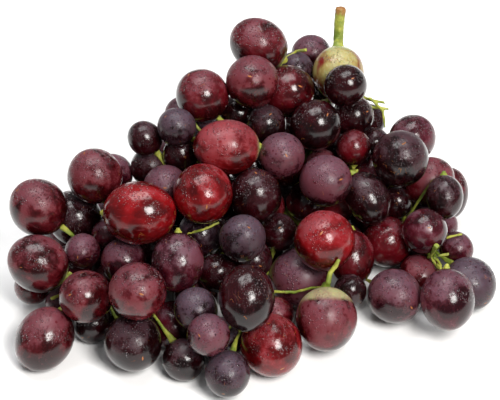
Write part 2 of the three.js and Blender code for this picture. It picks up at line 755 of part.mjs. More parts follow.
const counts = {};
for (const berry of single) {
  counts[berry.branch] = (counts[berry.branch] ?? 0) + 1;
  const name = `${berry.branch}_berry_${counts[berry.branch]}`;
  const solid = berrySolid(berry, finenessOf(berry), 0);
  addPiece(name, berry.branch, solid, berry.at, SKIN_COLOURS[berry.skin], SKIN_ROUGHNESS[berry.skin]);
}
sprigs.forEach(({ members, necks }, i) => {
  const parts = members.map((berry) => berrySolid(berry, 1, 0));
  for (const { from, to } of necks) parts.push(neckSolid(from, to, NECK_RADIUS));
  const solid = wasm.Manifold.union(parts).simplify(0.05);
  addPiece(`inner_sprig_${i + 1}`, 'inner', solid, members[0].at, SKIN_COLOURS.midnight, 0.5);
});
addPiece('stalk', 'stalks', stalkPieces[0], branchPoints[0].point, STALK_COLOUR, 0.7);

// The frame's origin is on the table, under the middle of the bunch.
const bounds = new THREE.Box3().setFromObject(group);
const middle = bounds.getCenter(new THREE.Vector3());
group.position.set(-middle.x, -middle.y, -bounds.min.z);

export default group;
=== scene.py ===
import json
import math
import random

import bmesh
import bpy
import numpy as np
from mathutils import Matrix, Vector, noise


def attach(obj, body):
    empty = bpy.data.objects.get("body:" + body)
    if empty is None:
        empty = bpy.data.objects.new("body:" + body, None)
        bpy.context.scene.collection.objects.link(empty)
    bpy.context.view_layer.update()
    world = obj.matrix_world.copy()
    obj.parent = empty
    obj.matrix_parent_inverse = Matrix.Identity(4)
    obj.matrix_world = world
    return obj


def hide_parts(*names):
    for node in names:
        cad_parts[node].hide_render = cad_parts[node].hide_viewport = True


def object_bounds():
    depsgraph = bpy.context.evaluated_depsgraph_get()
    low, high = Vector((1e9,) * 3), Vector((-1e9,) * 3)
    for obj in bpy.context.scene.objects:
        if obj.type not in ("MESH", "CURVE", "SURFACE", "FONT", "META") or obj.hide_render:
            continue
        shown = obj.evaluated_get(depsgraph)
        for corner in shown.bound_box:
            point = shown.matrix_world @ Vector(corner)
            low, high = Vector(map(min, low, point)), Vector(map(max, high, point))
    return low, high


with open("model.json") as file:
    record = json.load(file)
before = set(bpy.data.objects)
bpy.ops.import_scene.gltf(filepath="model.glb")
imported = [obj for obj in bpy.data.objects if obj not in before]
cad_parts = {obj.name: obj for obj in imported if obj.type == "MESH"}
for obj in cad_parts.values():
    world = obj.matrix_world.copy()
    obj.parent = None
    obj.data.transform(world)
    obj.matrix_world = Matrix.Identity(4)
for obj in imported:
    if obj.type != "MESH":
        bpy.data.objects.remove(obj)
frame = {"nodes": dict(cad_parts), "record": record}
cad_low, cad_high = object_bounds()
nodes = frame["nodes"]
slot_of = {part["node"]: part["material_slot"] for part in frame["record"]["subparts"]}

MM = 0.001
TABLE_TOP = 0.00002          # nothing goes lower, so that no face lies in the floor


# ---------------------------------------------------------------- camera

SIGHT = math.radians(40)     # how far the camera looks down on the bunch
AIM = Vector((-0.00224, -0.0179, 0.0579))
STAND_OFF = 0.9
EYE = AIM + STAND_OFF * Vector((0, -math.cos(SIGHT), math.sin(SIGHT)))
LENS, SENSOR = 142.56, 36

# The show face is the bunch as the camera sees it, in millimetres across and up from a foot on the table.
FOOT_X, FOOT_Y = -2.24, -86.11
AIM_UP = 88.2                # how far up the show face the camera aims


def set_camera():
    data = bpy.data.cameras.new("camera")
    data.lens = LENS
    data.sensor_width = SENSOR
    data.clip_start = 0.05
    camera = bpy.data.objects.new("camera", data)
    camera.location = EYE
    camera.rotation_euler = (math.pi / 2 - SIGHT, 0, 0)
    bpy.context.scene.collection.objects.link(camera)
    bpy.context.scene.camera = camera


# ---------------------------------------------------------------- shader maths

class Wire:
    """A value in a material: sums, products and powers of wires add its Math nodes."""

    def __init__(self, tree, socket):
        self.tree = tree
        self.socket = socket

    def maths(self, operation, *values):
        node = self.tree.nodes.new("ShaderNodeMath")
        node.operation = operation
        for put, value in zip(node.inputs, values):
            feed(self.tree, put, value)
        return Wire(self.tree, node.outputs[0])

    def __add__(self, other):
        return self.maths("ADD", self, other)

    def __sub__(self, other):
        return self.maths("SUBTRACT", self, other)

    def __mul__(self, other):
        return self.maths("MULTIPLY", self, other)

    def __pow__(self, other):
        return self.maths("POWER", self, other)

    def __rsub__(self, other):
        return self.maths("SUBTRACT", other, self)

    __radd__ = __add__
    __rmul__ = __mul__

    def size(self):
        return self.maths("ABSOLUTE", self)


def feed(tree, put, value):
    """Gives a socket a wire, a colour or a number."""
    if isinstance(value, Wire):
        tree.links.new(value.socket, put)
    elif isinstance(value, tuple) and len(value) == 3 and put.type == "RGBA":
        put.default_value = (*value, 1)
    else:
        put.default_value = value


class Finish:
    """A new material. Each of its nodes comes from add, with its settings first and then its sockets."""

    def __init__(self, name):
        self.material = bpy.data.materials.new(name)
        self.material.use_nodes = True
        self.tree = self.material.node_tree
        self.tree.nodes.clear()

    def add(self, kind, settings=None, inputs=None, out=0):
        node = self.tree.nodes.new("ShaderNode" + kind)
        for name, value in (settings or {}).items():
            setattr(node, name, value)
        for name, value in (inputs or {}).items():
            feed(self.tree, node.inputs[name], value)
        return Wire(self.tree, node.outputs[out]) if node.outputs else None

    def attribute(self, name, out="Fac"):
        return self.add("Attribute", {"attribute_name": name}, out=out)

    def millimetres(self):
        """The place on the piece, in millimetres."""
        return self.vector("SCALE", self.add("TexCoord", out="Object"), scale=1000.0)

    def noise(self, place, scale, detail=2.0, roughness=0.5, distortion=0.0):
        return self.add("TexNoise", None, {"Vector": place, "Scale": scale, "Detail": detail,
                                           "Roughness": roughness, "Distortion": distortion}, "Fac")

    def cells(self, place, scale):
        """How far it is to the nearest of many scattered points."""
        return self.add("TexVoronoi", None, {"Vector": place, "Scale": scale}, "Distance")

    def ramp(self, value, low, high, start=0.0, end=1.0):
        return self.add("MapRange", {"interpolation_type": "SMOOTHSTEP"},
                        {"Value": value, "From Min": low, "From Max": high, "To Min": start, "To Max": end})

    def dot(self, distance, full, none):
        """1 within a distance, and 0 past a larger one."""
        return 1.0 - self.ramp(distance, full, none)

    def mix(self, share, one, other):
        return self.add("Mix", {"data_type": "RGBA"}, {0: share, 6: one, 7: other}, 2)

    def vector(self, operation, *values, scale=None):
        inputs = dict(enumerate(values))
        if scale is not None:
            inputs["Scale"] = scale
        return self.add("VectorMath", {"operation": operation}, inputs)

    def bump(self, height, strength, distance, normal=None):
        inputs = {"Height": height, "Strength": strength, "Distance": distance}
        if normal:
            inputs["Normal"] = normal
        return self.add("Bump", None, inputs)

    def surface(self, inputs):
        body = self.add("BsdfPrincipled", None, inputs)
        self.add("OutputMaterial", None, {"Surface": body})
        return self.material


# ---------------------------------------------------------------- finishes

# Deep colour, bright colour, bloom colour, how much bloom lies on it.
SKINS = {
    "skin_ruby": ((0.0396, 0.0009, 0.0013), (0.2024, 0.0035, 0.0053), (0.2214, 0.041, 0.0492), 0.44),
    "skin_garnet": ((0.0141, 0.0009, 0.0013), (0.0836, 0.0026, 0.0053), (0.1517, 0.0295, 0.0377), 0.48),
    "skin_plum": ((0.0132, 0.0011, 0.0026), (0.0616, 0.0044, 0.0097), (0.123, 0.0369, 0.0508), 0.54),
    "skin_midnight": ((0.004, 0.0007, 0.0009), (0.0202, 0.0013, 0.0026), (0.0476, 0.018, 0.023), 0.44),
    "skin_dusk": ((0.0062, 0.0018, 0.0026), (0.0194, 0.0035, 0.0062), (0.0656, 0.0353, 0.0492), 0.54),
    "skin_blush": ((0.14, 0.01, 0.01), (0.33, 0.29, 0.09), (0.361, 0.323, 0.19), 0.35),
}
SHOULDER_GREEN = (0.36, 0.37, 0.17)
# painted glints: the pale colour put on the water beads in place of their highlights
BEAD_GLINT_PALE = (0.50, 0.38, 0.42)
# painted sheen: the lilac tint given to bloom that faces up, in place of the light from above
SKY_SHEEN_LILAC = (0.19, 0.145, 0.215)
SCAR_BROWN = (0.33, 0.11, 0.022)
STALK_DARK, STALK_PALE = (0.13, 0.18, 0.016), (0.36, 0.36, 0.055)
STALK_BLOTCH = (0.10, 0.13, 0.018)
CUT_BROWN = (0.26, 0.115, 0.030)
PORE_BROWN = (0.20, 0.10, 0.035)


def grape_skin(name, deep, bright, bloom, dust):
    """Translucent red flesh under bloom. The patterns run on each berry's own axes, in about millimetres."""
    f = Finish(name)
    own = f.attribute("own", "Vector")
    seed = f.attribute("seed")
    sky = f.attribute("sky")
    wiped = f.attribute("wiped")
    shoulder = f.attribute("shoulder")
    across, aside, along = (f.add("SeparateXYZ", None, {0: own}, axis) for axis in "XYZ")
    spread = f.add("CombineXYZ", None, {"X": seed * 91.0, "Y": seed * 57.0, "Z": seed * 33.0})
    place = f.vector("ADD", f.vector("SCALE", own, scale=12.0), spread)

    broad = f.noise(place, 0.075, 2.0, 0.5, 0.6)
    mottle = f.noise(place, 0.32, 4.0, 0.6, 0.4)
    grain = f.noise(place, 2.1, 3.0, 0.65)
    fine = f.noise(place, 5.5, 2.0, 0.6)

    # under the bloom: deep colour broken by brighter translucent flesh, with the bright colour also leaning towards
    # the upper side as painted light from above
    ripe_and_lit_from_above = f.ramp(broad + 0.25 * (mottle - 0.5) + 0.12 * sky, 0.36, 0.72)
    colour = f.mix(ripe_and_lit_from_above, deep, bright)
    streaks = f.noise(f.vector("MULTIPLY", place, (1.0, 1.0, 0.22)), 0.9, 2.0, 0.55)
    colour = f.mix(f.ramp(streaks, 0.58, 0.74) * 0.35, colour, bloom)

    # pale green round the stalk
    green = f.ramp(along + 0.22 * (mottle - 0.5) + 0.06 * (grain - 0.5) + 0.34 * shoulder, 1.05, 1.27)
    green = green * f.ramp(shoulder, 0.0, 0.5)
    colour = f.mix(green, colour, SHOULDER_GREEN)

    # bloom, with rubbed and fingered patches; its bluer lilac tint where it faces up is a painted sheen of the
    # light from above
    film = broad + 0.55 * (mottle - 0.5) + 0.16 * (grain - 0.5) + 0.26 * sky - 0.55 * wiped + 0.10
    veil = f.ramp(film, 0.60 - 0.36 * dust, 0.88 - 0.36 * dust)
    veil = veil * f.ramp(grain, 0.22, 0.62, 0.62, 1.0)
    bare = f.ramp(f.cells(place, 0.34), 0.16, 0.24)
    veil = veil * (0.35 + 0.65 * bare)
    sky_sheen = f.ramp(sky + 0.9 * (mottle - 0.5), 0.35, 0.95) * max(0.0, 1.6 * dust - 0.62)
    colour = f.mix(veil * 0.60, colour, f.mix(sky_sheen, bloom, SKY_SHEEN_LILAC))

    # dark breathing spots, and pale ones
    dark = f.dot(f.cells(place, 0.95), 0.05, 0.11) * f.ramp(mottle, 0.46, 0.58)
    colour = f.mix(dark * 0.45, colour, tuple(0.45 * c for c in deep))
    pale = f.dot(f.cells(place, 1.5), 0.05, 0.12) * f.ramp(grain, 0.5, 0.6)
    colour = f.mix(pale * 0.35, colour, bloom)

    # corky scratches, and the scar at the blossom end
    line = f.noise(place, 0.16, 1.0, 0.4, 0.8)
    scratch = f.dot((line - 0.5).size(), 0.0015, 0.006) * f.ramp(f.noise(place, 0.21, 1.0), 0.64, 0.68)
    colour = f.mix(scratch * 0.75, colour, SCAR_BROWN)
    reach = (across * across + (aside * 0.34) ** 2.0) ** 0.5
    scar = f.dot(reach + 0.03 * (grain - 0.5), 0.016, 0.038) * f.ramp(along * -1.0, 0.6, 0.7)
    colour = f.mix(scar * 0.9, colour, SCAR_BROWN)

    # water: a fine mist of beads on the upper side, in drifts, with pale dots painted on the beads as painted
    # glints
    drift = f.ramp(f.noise(place, 0.13, 2.0, 0.5, 0.3) + 0.34 * sky, 0.66, 0.82)
    large = f.cells(place, 0.72)
    small = f.cells(place, 1.30)
    wet = (f.dot(large, 0.08, 0.36) + 0.6 * f.dot(small, 0.10, 0.38)) * drift
    bead_glint = f.dot(large, 0.06, 0.24) + f.dot(small, 0.06, 0.26) * f.ramp(grain, 0.42, 0.55)
    colour = f.mix(bead_glint * drift * 0.38, colour, BEAD_GLINT_PALE)

    dry = f.ramp(veil, 0.1, 0.9, 0.13, 0.46) + 0.10 * (fine - 0.5) + 0.25 * scar
    roughness = dry * (1.0 - 0.75 * f.ramp(wet, 0.15, 0.5))
    normal = f.bump(mottle, 0.25, 0.0005)
    normal = f.bump(fine * 0.4 + grain, 0.10, 0.00025, normal)
    normal = f.bump(scar + scratch * 0.6, 0.5, 0.0002, normal)
    normal = f.bump(wet, 1.0, 0.0006, normal)
    return f.surface({
        "Base Color": colour, "Roughness": roughness, "Normal": normal,
        "Coat Weight": 0.38 - 0.32 * veil, "Coat Roughness": 0.13, "Coat IOR": 1.35, "IOR": 1.38,
        "Subsurface Weight": 0.16, "Subsurface Radius": (1.0, 0.16, 0.12), "Subsurface Scale": 0.004,
    })


def stalk_skin():
    """Fresh green wood, blotched and pored, and brown where it was cut."""
    f = Finish("stalk_green")
    place = f.millimetres()
    browned = f.attribute("browned")
    broad = f.noise(place, 0.13, 3.0)
    mottle = f.noise(place, 0.6, 3.0, 0.6)
    grain = f.noise(place, 2.2, 2.0, 0.6)
    colour = f.mix(f.ramp(broad, 0.35, 0.65), STALK_DARK, STALK_PALE)
    colour = f.mix(f.ramp(mottle, 0.55, 0.72) * 0.6, colour, STALK_BLOTCH)
    colour = f.mix(f.ramp(browned + 0.5 * (mottle - 0.5), 0.35, 0.65), colour, CUT_BROWN)
    pores = f.dot(f.cells(place, 0.9), 0.10, 0.20)
    colour = f.mix(pores * 0.55, colour, PORE_BROWN)
    normal = f.bump(mottle + 0.5 * grain + 0.8 * pores, 0.55, 0.0003)
    return f.surface({
        "Base Color": colour, "Roughness": 0.42 + 0.25 * grain, "Normal": normal,
        "Subsurface Weight": 0.12, "Subsurface Radius": (0.7, 1.0, 0.2), "Subsurface Scale": 0.002,
    })


def dew_water():
    f = Finish("dew")
    ripple = f.bump(f.noise(f.millimetres(), 0.8), 0.1, 0.0001)
    return f.surface({"Base Color": (0.97, 0.98, 1.0), "Roughness": 0.02, "IOR": 1.33,
                      "Transmission Weight": 1.0, "Normal": ripple})


# ---------------------------------------------------------------- what the frame says

def slimness(along):
    """An egg's share of its width at a place along it, from 1 at its stalk to -1 at its blossom end."""
    return 1 - 0.025 * (1 - along)


def upright_to(axis):
    """The turn that takes +Z to an axis."""
    return Vector((0, 0, 1)).rotation_difference(Vector(axis)).to_matrix()


class Berry:
    """One berry: its middle, the way to its stalk, and its half sizes, in millimetres."""

    def __init__(self, middle, axis, half_length, half_width):
        self.middle = middle
        self.axis = axis / np.linalg.norm(axis)
        self.half_length = half_length
        self.half_width = half_width

    def pole(self):
        """Where its stalk enters."""
        return self.middle + self.axis * self.half_length

    def across_up(self):
        """Where it is on the show face."""
        x, y, z = self.middle
        return x - FOOT_X, (y - FOOT_Y) * math.sin(SIGHT) + z * math.cos(SIGHT)

    def reach(self, along):
        """About how far its skin is from its middle, where a way out makes this cosine with its axis."""
        return self.half_width + (self.half_length - self.half_width) * along ** 2

    def misfit(self, points):
        """How far points are off its skin, as a share of its size."""
        away = points - self.middle
        along = away @ self.axis / self.half_length
        beside = np.linalg.norm(away - np.outer(away @ self.axis, self.axis), axis=1)
        slim = slimness(np.clip(along, -1, 1))
        return np.sqrt((beside / (self.half_width * slim)) ** 2 + along ** 2) - 1

    def nudged(self, change):
        """The same berry moved by three numbers, tipped by two, and made longer and wider by two."""
        side = np.cross(self.axis, np.eye(3)[np.argmin(np.abs(self.axis))])
        side /= np.linalg.norm(side)
        axis = self.axis + change[3] * side + change[4] * np.cross(self.axis, side)
        return Berry(self.middle + change[:3], axis, self.half_length + change[5], self.half_width + change[6])

    def fitted(self, points):
        """The same berry nudged until it passes through the points, and how far off they still are."""
        tiny, rounds = 1e-4, 14
        best = self
        damping = 1e-3
        error = best.misfit(points)
        for _ in range(rounds):
            slope = np.empty((len(points), 7))
            for i in range(7):
                step = np.zeros(7)
                step[i] = tiny
                slope[:, i] = (best.nudged(step).misfit(points) - error) / tiny
            square = slope.T @ slope
            change = -np.linalg.solve(square + damping * np.diag(np.diag(square) + 1e-9), slope.T @ error)
            tried = best.nudged(np.clip(change, -2, 2))
            new_error = tried.misfit(points)
            if new_error @ new_error < error @ error:
                best, error, damping = tried, new_error, damping / 5
            else:
                damping *= 8
        return best, float(np.sqrt(np.mean(error ** 2)))


def meeting_point(middles, normals):
    """The point nearest to all the lines that leave the faces squarely."""
    pull = np.eye(3) - normals[:, :, None] * normals[:, None, :]
    return np.linalg.solve(pull.sum(0), (pull @ middles[:, :, None]).sum(0)[:, 0])


def egg_through(points):
    """The berry whose skin passes through the points: an ellipsoid first, then an egg tried both ways round."""
    unit = 10
    shift = points.mean(0)
    x, y, z = (points - shift).T / unit
    terms = np.stack([x * x, y * y, z * z, 2 * y * z, 2 * x * z, 2 * x * y, 2 * x, 2 * y, 2 * z], 1)
    a, b, c, d, e, f, *slope = np.linalg.lstsq(terms, np.ones(len(x)), rcond=None)[0]
    form = np.array([[a, f, e], [f, b, d], [e, d, c]])
    middle = -np.linalg.solve(form, slope)
    sizes, turns = np.linalg.eigh(form / (1 + middle @ form @ middle))
    halves = unit / np.sqrt(np.abs(sizes))
    width = (halves[1] + halves[2]) / 2 * 1.02
    tries = [Berry(shift + unit * middle, turns[:, 0] * way, halves[0], width).fitted(points) for way in (1, -1)]
    return min(tries, key=lambda t: t[1])[0]


ENOUGH_FACES = 22            # a berry shows at least this many faces of its node
LIKELY_SIZES = np.arange(6.0, 14.6, 0.75)


def faces_round(centre, size, middles, normals):
    """Which faces lie square to the way out from a centre, at a distance."""
    away = middles - centre
    far = np.linalg.norm(away, axis=1)
    return (np.abs(far - size) < 0.13 * size) & ((away * normals).sum(1) > 0.965 * far)


def berries_in(node):
    """The berries of a CAD node, found again from its facets, the clearest first."""
    work = bmesh.new()
    work.from_mesh(nodes[node].data)
    bmesh.ops.remove_doubles(work, verts=work.verts, dist=1e-6)
    work.normal_update()
    middles = np.array([face.calc_center_median() for face in work.faces]) / MM
    normals = np.array([face.normal for face in work.faces])
    corners = [[v.index for v in face.verts] for face in work.faces]
    spots = np.array([v.co for v in work.verts]) / MM
    work.free()
    guesses = []
    for size in LIKELY_SIZES:
        for centre in (middles - size * normals)[::4]:
            near = faces_round(centre, size, middles, normals)
            guesses.append((near.sum(), size, centre))
    guesses.sort(key=lambda g: -g[0])
    free = np.ones(len(middles), bool)
    found = []
    for count, size, centre in guesses:
        if count < ENOUGH_FACES:
            break
        near = faces_round(centre, size, middles, normals) & free
        if near.sum() < ENOUGH_FACES:
            continue
        for _ in range(3):
            centre = meeting_point(middles[near], normals[near])
            size = np.median(np.linalg.norm(middles[near] - centre, axis=1))
            near = faces_round(centre, size, middles, normals)
            if (near & free).sum() < ENOUGH_FACES:
                break
        if (near & free).sum() < ENOUGH_FACES:
            continue
        points = spots[sorted({v for i in np.flatnonzero(near) for v in corners[i]})]
        berry = egg_through(points[points[:, 2] > 0.05])
        found.append(berry)
        taken = 1.03 * max(berry.half_length, berry.half_width)
        free &= np.linalg.norm(middles - berry.middle, axis=1) > taken
    return found


# ---------------------------------------------------------------- berries

# How much of the bloom is rubbed off (1 is bare and glossy) and how green the shoulder round the stalk is.
LOOKS = {
    "crown_berry_1": (0.45, 0.8), "crown_berry_2": (0.25, 0.3), "crown_berry_3": (0.55, 0.0),
    "crown_berry_4": (0.5, 1.3), "crown_berry_5": (0.8, 0.0), "crown_berry_6": (0.85, 0.0),
    "crown_berry_7": (0.3, 0.0), "crown_berry_8": (0.8, 0.0),
    "left_brow_berry_1": (0.5, 0.0), "left_brow_berry_2": (0.1, 0.0), "left_brow_berry_3": (0.6, 0.0),
    "left_brow_berry_4": (0.55, 0.0), "left_brow_berry_5": (0.5, 0.0), "left_brow_berry_6": (0.05, 0.0),
    "left_brow_berry_7": (0.3, 0.0),
    "left_shoulder_berry_1": (0.3, 0.0), "left_shoulder_berry_2": (0.45, 0.0),
    "left_shoulder_berry_3": (0.3, 0.7), "left_shoulder_berry_4": (0.3, 0.0),
    "left_shoulder_berry_5": (0.4, 0.0),
    "heart_berry_1": (0.2, 0.8), "heart_berry_2": (0.45, 0.0), "heart_berry_3": (0.7, 0.0),
    "heart_berry_4": (0.1, 0.5), "heart_berry_5": (0.6, 0.0), "heart_berry_6": (0.1, 0.0),
    "heart_berry_7": (0.1, 0.0), "heart_berry_8": (0.35, 0.0), "heart_berry_9": (0.5, 0.0),
    "left_fall_berry_1": (0.4, 0.0), "left_fall_berry_2": (0.3, 0.5), "left_fall_berry_3": (0.3, 0.0),
    "left_fall_berry_4": (0.4, 0.0), "left_fall_berry_5": (0.7, 0.0),
    "foot_berry_1": (0.3, 0.0), "foot_berry_2": (0.1, 0.0), "foot_berry_3": (0.4, 0.0),
    "foot_berry_4": (0.3, 0.0), "foot_berry_5": (0.8, 0.0), "foot_berry_6": (0.35, 0.0),
    "foot_berry_7": (0.25, 1.9),
    "right_shoulder_berry_3": (0.7, 0.3), "right_shoulder_berry_8": (0.7, 0.0),
    "right_fall_berry_1": (0.6, 0.0), "right_fall_berry_2": (0.15, 0.0),
}
# Skins of the inner berries that show: across and up on the show face, skin, how much is rubbed off.
SHOWING = [
    (18, 50, "skin_plum", 0.2), (84, 95, "skin_garnet", 0.4), (96, 92, "skin_garnet", 0.4),
    (89, 76, "skin_plum", 0.4), (30, 160, "skin_plum", 0.1), (22, 151, "skin_dusk", 0.3),
    (-32, 129, "skin_plum", 0.2), (-62, 101, "skin_plum", 0.3), (34, 104, "skin_garnet", 0.3),
    (-68, 73, "skin_plum", 0.5), (-88, 41, "skin_plum", 0.3), (-100, 48, "skin_garnet", 0.6),
    (-5, 129, "skin_midnight", 0.6), (22, 85, "skin_midnight", 0.7), (12, 70, "skin_midnight", 0.6),
    (-17, 54, "skin_midnight", 0.7), (58, 126, "skin_midnight", 0.6), (60, 116, "skin_midnight", 0.6),
    (71, 87, "skin_midnight", 0.6), (79, 63, "skin_midnight", 0.6),
]
SAME_BERRY = 6               # how close on the show face an inner berry is to its place in SHOWING
SKIN_NAMES = ["skin_garnet", "skin_plum", "skin_midnight", "skin_dusk", "skin_ruby", "skin_blush"]
COMMON_SKINS = SKIN_NAMES[:4]
MARKS = ("seed", "sky", "wiped", "shoulder")
PLUMP = 0.35                 # how far a ripe skin presses out, so that neighbours touch
PLUMPER, PLUMPER_FROM = 0.006, 60    # and more for each millimetre up the show face past this height
STALK_DIMPLE = (0.055, 0.17)         # depth and width, as shares of the berry
BLOSSOM_DIMPLE = (0.012, 0.1)
LUMP = 0.010
finishes = {}


def skin(name):
    if name not in finishes:
        finishes[name] = grape_skin(name, *SKINS[name])
    return finishes[name]


def new_mesh():
    """An empty mesh that carries what the skins read."""
    work = bmesh.new()
    work.verts.layers.float_vector.new("own")
    for name in MARKS:
        work.verts.layers.float.new(name)
    return work


def add_berry(work, berry, detail, dice, look, skin_index):
    """One berry in a mesh: a slightly lumpy egg with a dimple where its stalk enters."""
    own = work.verts.layers.float_vector["own"]
    marks = {name: work.verts.layers.float[name] for name in MARKS}
    seed = dice.random()
    made = bmesh.ops.create_icosphere(work, subdivisions=detail, radius=1)["verts"]
    turn = upright_to(berry.axis) @ Matrix.Rotation(dice.uniform(0, 2 * math.pi), 3, "Z")
    middle = Vector(berry.middle)
    plump = PLUMP + PLUMPER * max(0.0, berry.across_up()[1] - PLUMPER_FROM)
    wide, long = berry.half_width + plump, berry.half_length + plump
    shift = Vector((seed * 40, 7, 3))
    for v in made:
        unit = v.co.normalized()
        v[own] = unit
        v[marks["seed"]] = seed
        v[marks["sky"]] = (turn @ unit).z
        v[marks["wiped"]], v[marks["shoulder"]] = look
        slim = slimness(unit.z)
        depth, width = STALK_DIMPLE if unit.z > 0 else BLOSSOM_DIMPLE
        dent = 1 - depth * math.exp(-(math.hypot(unit.x, unit.y) / width) ** 2)
        lump = 1 + LUMP * (noise.noise(unit * 1.3 + shift) - 0.35)
        shape = Vector((unit.x * slim * wide, unit.y * slim * wide, unit.z * long)) * dent * lump
        v.co = (middle + turn @ shape) * MM
        v.co.z = max(v.co.z, TABLE_TOP)
    for face in {face for v in made for face in v.link_faces}:
        face.smooth = True
        face.material_index = skin_index


def pour(part, whole):
    """Adds a small mesh to a large one."""
    carrier = bpy.data.meshes.new("carrier")
    part.to_mesh(carrier)
    part.free()
    whole.from_mesh(carrier)
    bpy.data.meshes.remove(carrier)


def put_in_scene(work, name, materials, slot, *stands_for):
    mesh = bpy.data.meshes.new(name)
    work.to_mesh(mesh)
    work.free()
    piece = bpy.data.objects.new(name, mesh)
    bpy.context.scene.collection.objects.link(piece)
    for material in materials:
        mesh.materials.append(material)
    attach(piece, "root")
    if stands_for:
        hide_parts(*stands_for)


def make_sprig(node, found, dice):
    """The joined berries of one inner sprig, each with its own skin. Gives back their looks."""
    work = new_mesh()
    looks = []
    for berry in found:
        across, up = berry.across_up()
        close = min(SHOWING, key=lambda s: math.hypot(s[0] - across, s[1] - up))
        shows = math.hypot(close[0] - across, close[1] - up) < SAME_BERRY
        name = close[2] if shows else dice.choice(COMMON_SKINS)
        look = (close[3] if shows else dice.uniform(0.3, 0.8), 0.0)
        add_berry(work, berry, 4, dice, look, SKIN_NAMES.index(name))
        looks.append(look)
    put_in_scene(work, node + "_skin", [skin(name) for name in SKIN_NAMES], "skin_inner", node)
    return looks


def make_berries():
    """Every berry of the frame, one piece for each single berry and one for each sprig."""
    every = []
    for node in sorted(n for n in nodes if n != "stalk"):
        dice = random.Random(node)
        found = berries_in(node)
        if node.startswith("inner"):
            looks = make_sprig(node, found, dice)
            every += [(node, berry, look) for berry, look in zip(found, looks)]
        else:
            look = LOOKS.get(node, (dice.uniform(0.2, 0.6), 0.0))
            work = new_mesh()
            add_berry(work, found[0], 5, dice, look, 0)
            put_in_scene(work, node + "_skin", [skin(slot_of[node])], slot_of[node], node)
            every.append((node, found[0], look))
    return every


# Where deeper berries close the show face: across and up on it, and the largest half size, in millimetres.
DEEP = [(30, 137, 10.5), (17, 125, 10.5), (45.5, 46.8, 9.5)]
SMALLEST_HALF = 5.0
BESIDE_SIGHT = 18            # berries with their middles this close to the line of sight stand in front


def make_deep_berries(berries):
    """Berries deep in the bunch, each in the free room close to its neighbours behind a gap of the show face."""
    work = new_mesh()
    dice = random.Random("deep")
    twigs = np.array([v.co for v in nodes["stalk"].data.vertices]) / MM
    low, high = np.array(cad_low) / MM, np.array(cad_high) / MM
    eye = np.array(EYE) / MM
    middles = np.array([berry.middle for _, berry, _ in berries])
    axes = np.array([berry.axis for _, berry, _ in berries])
    wide = np.array([berry.half_width for _, berry, _ in berries])
    extra = np.array([berry.half_length for _, berry, _ in berries]) - wide
    for across, up, largest in DEEP:
        rise = up - AIM_UP
        aim = np.array(AIM) / MM + (across, rise * math.sin(SIGHT), rise * math.cos(SIGHT))
        way = (aim - eye) / np.linalg.norm(aim - eye)
        depths = (middles - aim) @ way
        beside = np.linalg.norm(middles - aim - depths[:, None] * way, axis=1)
        front = depths[beside < BESIDE_SIGHT].min() + 6
        fits = []
        for half in np.arange(largest, SMALLEST_HALF, -1.0):
            for far in np.arange(front, 110, 1.0):
                spot = aim + way * far
                if np.any(spot < low + half) or np.any(spot > high - half):
                    continue
                away = spot - middles
                length = np.linalg.norm(away, axis=1)
                along = (away * axes).sum(1) / length
                room = np.min(length - wide - extra * along ** 2) - half
                if room > -0.5 and np.min(np.linalg.norm(twigs - spot, axis=1)) > half:
                    fits.append((room, half, spot))
            if fits:
                break
        if not fits:
            continue
        _, half, spot = min(fits, key=lambda t: t[0])
        berry = Berry(spot, np.array([0.0, 0.0, 1.0]), half + 0.5, half)
        add_berry(work, berry, 4, dice, (0.6, 0.0), SKIN_NAMES.index("skin_midnight"))
        middles = np.vstack([middles, spot])
        axes = np.vstack([axes, berry.axis])
        wide, extra = np.append(wide, half), np.append(extra, 0.5)
    put_in_scene(work, "deep_berries", [skin(name) for name in SKIN_NAMES], "skin_inner")


# ---------------------------------------------------------------- stalk

# Height over the berry, radius and thickness of the rings of a collar.
COLLAR_RINGS = ((0.1, 1.9, 0.9), (0.9, 1.6, 1.2), (1.9, 1.2, 1.5))
KNOBS, KNOB_RING = 9, 1.75
STALK_AT_BERRY = 3.2         # a berry has a collar where the CAD stalk comes this close to its pole
GREEN_SHOULDER = 0.6         # a berry with a shoulder greener than this has a larger collar
# The bare twig in front of foot_berry_7, in steps from the berry's pole.
LEANING = ((0, 0, 1.0), (0.8, -0.6, 4.0), (1.6, 1.6, 7.5), (3.4, 4.6, 11.0), (3.8, 6.4, 14.0))
VOXEL = 0.52
THICKER = 0.7                # what the main stalk gains, near its cut end


def clear_of(point, berries, margin):
    """The point moved out of every berry."""
    for _ in range(12):
        for _, berry, _ in berries:
            middle = Vector(berry.middle)
            away = point - middle
            reach = berry.reach(away.normalized().dot(Vector(berry.axis))) + margin
            if away.length < reach:
                point = middle + away * (reach / away.length)
    return point


def add_twig(work, points, start, end):
    """A round twig through some points, from one radius to another."""
    count = 4 * (len(points) - 1)
    part = bmesh.new()
    for i in range(count + 1):
        share = i / count * (len(points) - 1)
        k = min(int(share), len(points) - 2)
        spot = points[k].lerp(points[k + 1], share - k)
        radius = start + (end - start) * i / count
        bmesh.ops.create_icosphere(part, subdivisions=2, radius=radius * MM, matrix=Matrix.Translation(spot * MM))
    pour(part, work)


